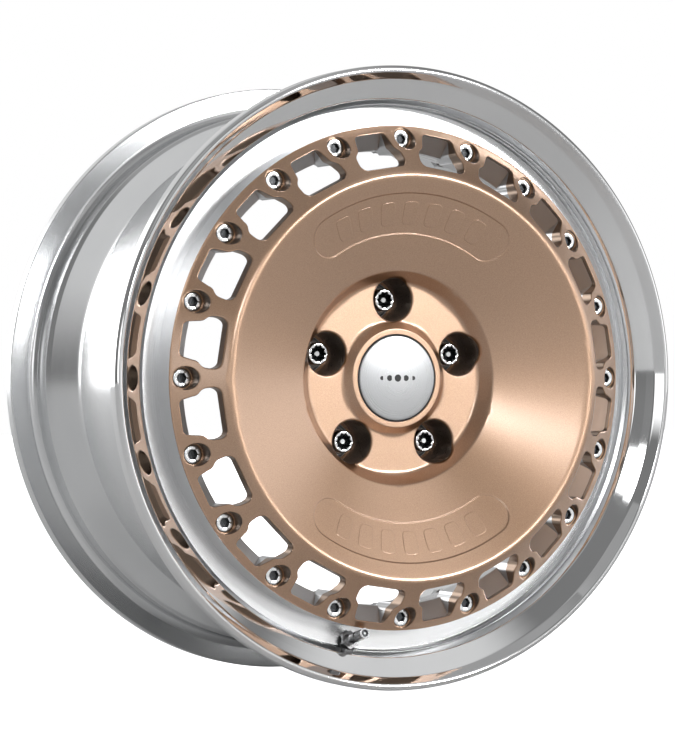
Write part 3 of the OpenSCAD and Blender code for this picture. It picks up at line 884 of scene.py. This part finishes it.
def makeCapMarks(material):
    # A row of plain round dots on the cap's dome, as high as a coat of print
    patches = []
    for x, r in cap["dots"]:
        face = domeY(x) - cap["printHigh"]
        rows = [(0, face + 0.3, 0), (r, face + 0.3, 0), (r, face, 0), (0, face, 0)]
        patches.append(axisSolid(rows, (x, 0.0)))
    piece = makePiece("capMarks", patches, material, 40.0)
    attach(piece, "centre_cap")


def addNode(material, kind, **values):
    # A new node with its sockets or settings filled in by name
    node = material.node_tree.nodes.new(kind)
    for name, value in values.items():
        if name in node.inputs:
            node.inputs[name].default_value = value
        else:
            setattr(node, name, value)
    return node


def link(material, start, end):
    # Joins an output socket to an input socket
    material.node_tree.links.new(start, end)


def turnedPlace(material, fineness):
    # A place that only changes with the radius and along the axle, for marks that a lathe leaves
    place = addNode(material, "ShaderNodeTexCoord")
    split = addNode(material, "ShaderNodeSeparateXYZ")
    flat = addNode(material, "ShaderNodeCombineXYZ")
    size = addNode(material, "ShaderNodeVectorMath", operation="LENGTH")
    both = addNode(material, "ShaderNodeCombineXYZ")
    scale = addNode(material, "ShaderNodeVectorMath", operation="SCALE")
    scale.inputs["Scale"].default_value = fineness
    link(material, place.outputs["Object"], split.inputs[0])
    link(material, split.outputs["X"], flat.inputs["X"])
    link(material, split.outputs["Z"], flat.inputs["Z"])
    link(material, flat.outputs[0], size.inputs[0])
    link(material, size.outputs["Value"], both.inputs["X"])
    link(material, split.outputs["Y"], both.inputs["Y"])
    link(material, both.outputs[0], scale.inputs[0])
    return scale.outputs[0]


def noiseOn(material, place, scale, detail=2.0):
    # Noise on the given place, or on the object's own coordinates
    noise = addNode(material, "ShaderNodeTexNoise")
    noise.inputs["Scale"].default_value = scale
    noise.inputs["Detail"].default_value = detail
    if place is None:
        coord = addNode(material, "ShaderNodeTexCoord")
        place = coord.outputs["Object"]
    link(material, place, noise.inputs["Vector"])
    return noise.outputs["Fac"]


def spread(material, value, low, high):
    # Stretches the middle of a noise to the range from low to high
    fit = addNode(material, "ShaderNodeMapRange")
    fit.inputs["From Min"].default_value = 0.3
    fit.inputs["From Max"].default_value = 0.7
    fit.inputs["To Min"].default_value = low
    fit.inputs["To Max"].default_value = high
    link(material, value, fit.inputs["Value"])
    return fit.outputs["Result"]


def bumped(material, height, strength, distance):
    # Lets a height tilt the shader's normal
    bump = addNode(material, "ShaderNodeBump")
    bump.inputs["Strength"].default_value = strength
    bump.inputs["Distance"].default_value = distance
    link(material, height, bump.inputs["Height"])
    link(material, bump.outputs[0], shaderOf(material).inputs["Normal"])


def tinted(material, value, dark, light):
    # Colours the base from dark to light by a noise
    ramp = addNode(material, "ShaderNodeValToRGB")
    ramp.color_ramp.elements[0].position = 0.35
    ramp.color_ramp.elements[1].position = 0.65
    ramp.color_ramp.elements[0].color = (*dark, 1.0)
    ramp.color_ramp.elements[1].color = (*light, 1.0)
    link(material, value, ramp.inputs["Fac"])
    link(material, ramp.outputs["Color"], shaderOf(material).inputs["Base Color"])


def turnedMetal(name, dark, light, rough, groove, depth, metal):
    # Bare metal with lathe marks: noise of radius and depth drives bump and roughness
    material = newMaterial(name, light, metal, rough[0])
    place = turnedPlace(material, groove)
    marks = noiseOn(material, place, 1.0, 3.0)
    cloud = noiseOn(material, None, 9.0, 3.0)
    link(material, spread(material, marks, *rough), shaderOf(material).inputs["Roughness"])
    tinted(material, cloud, dark, light)
    bumped(material, marks, 0.5, depth)
    return material


bronzeFinish = {
    "dark": (0.38, 0.190, 0.078), "light": (0.50, 0.262, 0.115), "rough": (0.31, 0.37),
    "metal": 0.95, "clear": 1.0, "clearRough": 0.26, "clearIndex": 2.5,
    "flakeScale": 2600.0, "peelScale": 420.0, "peel": (0.12, 0.00006),   # strength, height in metres
}


def satinWithin(material, radius, extra):
    # The flat ring inside the given radius is turned but not polished: its roughness is raised
    place = addNode(material, "ShaderNodeTexCoord")
    flat = addNode(material, "ShaderNodeVectorMath", operation="MULTIPLY")
    flat.inputs[1].default_value = (1.0, 0.0, 1.0)
    size = addNode(material, "ShaderNodeVectorMath", operation="LENGTH")
    inside = addNode(material, "ShaderNodeMath", operation="LESS_THAN")
    inside.inputs[1].default_value = radius
    more = addNode(material, "ShaderNodeMath", operation="MULTIPLY_ADD")
    more.inputs[1].default_value = extra
    rough = shaderOf(material).inputs["Roughness"]
    start = rough.links[0].from_socket
    link(material, place.outputs["Object"], flat.inputs[0])
    link(material, flat.outputs["Vector"], size.inputs[0])
    link(material, size.outputs["Value"], inside.inputs[0])
    link(material, inside.outputs[0], more.inputs[0])
    link(material, start, more.inputs[2])
    link(material, more.outputs[0], rough)


def bronzeCoat():
    # Satin metallic coat: fine flake in the tone, a faint orange peel, a clear layer on top
    material = newMaterial("bronzeCoat", bronzeFinish["light"], bronzeFinish["metal"],
                           bronzeFinish["rough"][1], bronzeFinish["clear"], bronzeFinish["clearRough"])
    flake = noiseOn(material, None, bronzeFinish["flakeScale"], 1.0)
    peel = noiseOn(material, None, bronzeFinish["peelScale"], 2.0)
    shader = shaderOf(material)
    shader.inputs["Coat IOR"].default_value = bronzeFinish["clearIndex"]
    tinted(material, flake, bronzeFinish["dark"], bronzeFinish["light"])
    link(material, spread(material, peel, *bronzeFinish["rough"]), shader.inputs["Roughness"])
    bumped(material, peel, *bronzeFinish["peel"])
    return material


def dress(node, material):
    # A carried-over CAD node keeps its mesh and takes a finish
    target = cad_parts[node]
    target.data.materials.clear()
    target.data.materials.append(material)


# dark tone, light tone, roughness range, marks per metre, their depth in metres, metal share
metals = {
    "lipPolish": ((0.74, 0.745, 0.75), (0.80, 0.805, 0.81), (0.035, 0.06), 9000, 0.000001, 1.0),
    "barrelPolish": ((0.70, 0.71, 0.72), (0.78, 0.785, 0.79), (0.16, 0.24), 5000, 0.000004, 1.0),
    "machinedRing": ((0.56, 0.565, 0.575), (0.66, 0.665, 0.675), (0.28, 0.4), 4000, 0.000008, 1.0),
    "capSilver": ((0.40, 0.405, 0.41), (0.47, 0.475, 0.48), (0.27, 0.29), 4000, 0.0000003, 1.0),
    "brightSteel": ((0.72, 0.725, 0.73), (0.84, 0.845, 0.85), (0.14, 0.24), 3000, 0.000003, 1.0),
    "plainSteel": ((0.34, 0.345, 0.35), (0.46, 0.465, 0.47), (0.3, 0.42), 3000, 0.000006, 1.0),
    "lugChrome": ((0.74, 0.745, 0.75), (0.82, 0.825, 0.83), (0.05, 0.1), 3000, 0.000001, 1.0),
    "blackRubber": ((0.012, 0.012, 0.012), (0.028, 0.028, 0.028), (0.55, 0.7), 900, 0.00001, 0.0),
    # Dark steel: the valve core's own finish, and the dark liners of painted shade in the bolts' sockets
    # and hollows
    "darkSteelAndShade": ((0.045, 0.047, 0.05), (0.09, 0.093, 0.097), (0.2, 0.3), 3000, 0.000003, 1.0),
    "valveSteel": ((0.30, 0.30, 0.305), (0.42, 0.42, 0.425), (0.16, 0.26), 3000, 0.000003, 1.0),
    # Painted shade for the pockets' walls
    "pocketPaintedShade": ((0.13, 0.095, 0.07), (0.19, 0.14, 0.105), (0.26, 0.34), 900, 0.000006, 1.0),
    # Painted shade for the windows' walls
    "windowWallPaintedShade": ((0.22, 0.16, 0.12), (0.29, 0.21, 0.155), (0.28, 0.36), 900, 0.000006, 1.0),
}
# Which finish each carried-over node takes
finishes = {
    "backing_ring": "machinedRing", "rim_nut_washers": "plainSteel", "rim_nuts": "plainSteel",
    "seat_inserts": "plainSteel", "hub_ring": "blackRubber", "cap_body": "machinedRing",
    "cap_ring": "blackRubber", "cap_o_ring": "blackRubber", "rim_seal": "blackRubber",
    "valve_stem": "valveSteel", "valve_washer": "blackRubber", "valve_nut": "valveSteel",
    "valve_inner_seal": "blackRubber", "valve_core": "darkSteelAndShade", "valve_pin": "lugChrome",
}

bpy.context.scene.view_settings.view_transform = "Standard"
makeCamera()
makeWorld()
makeKeyLight()
makeFloor()
print("studio made")

metal = {name: turnedMetal(name, *values) for name, values in metals.items()}
satinWithin(metal["lipPolish"], (lip["flatR"] + 0.2) * mm, 0.22)
print("finishes made:", len(metal) + 1)

makeLip(metal["lipPolish"])
makeBarrel(metal["barrelPolish"])
print("rim halves made")

makeDisc(bronzeCoat())
print("disc made")

# The bolts' sockets and hollows take dark liners of painted shade
makeRimBolts(metal["brightSteel"], metal["darkSteelAndShade"])
for number in range(1, disc["lugs"] + 1):
    makeWheelBolt(number, metal["lugChrome"], metal["darkSteelAndShade"])
    dress("bolt_collar_%d" % number, metal["plainSteel"])
print("bolts made")

# Dark sleeves paint shade on the pockets' walls
makePocketLiners(metal["pocketPaintedShade"])
# Dark sleeves paint shade on the windows' walls
makeWindowLiners(metal["windowWallPaintedShade"])
makeCapDisc(metal["capSilver"])
makeCapMarks(metal["blackRubber"])
for node, finish in finishes.items():
    dress(node, metal[finish])
print("liners and cap made, carried-over nodes dressed:", len(finishes) + disc["lugs"])
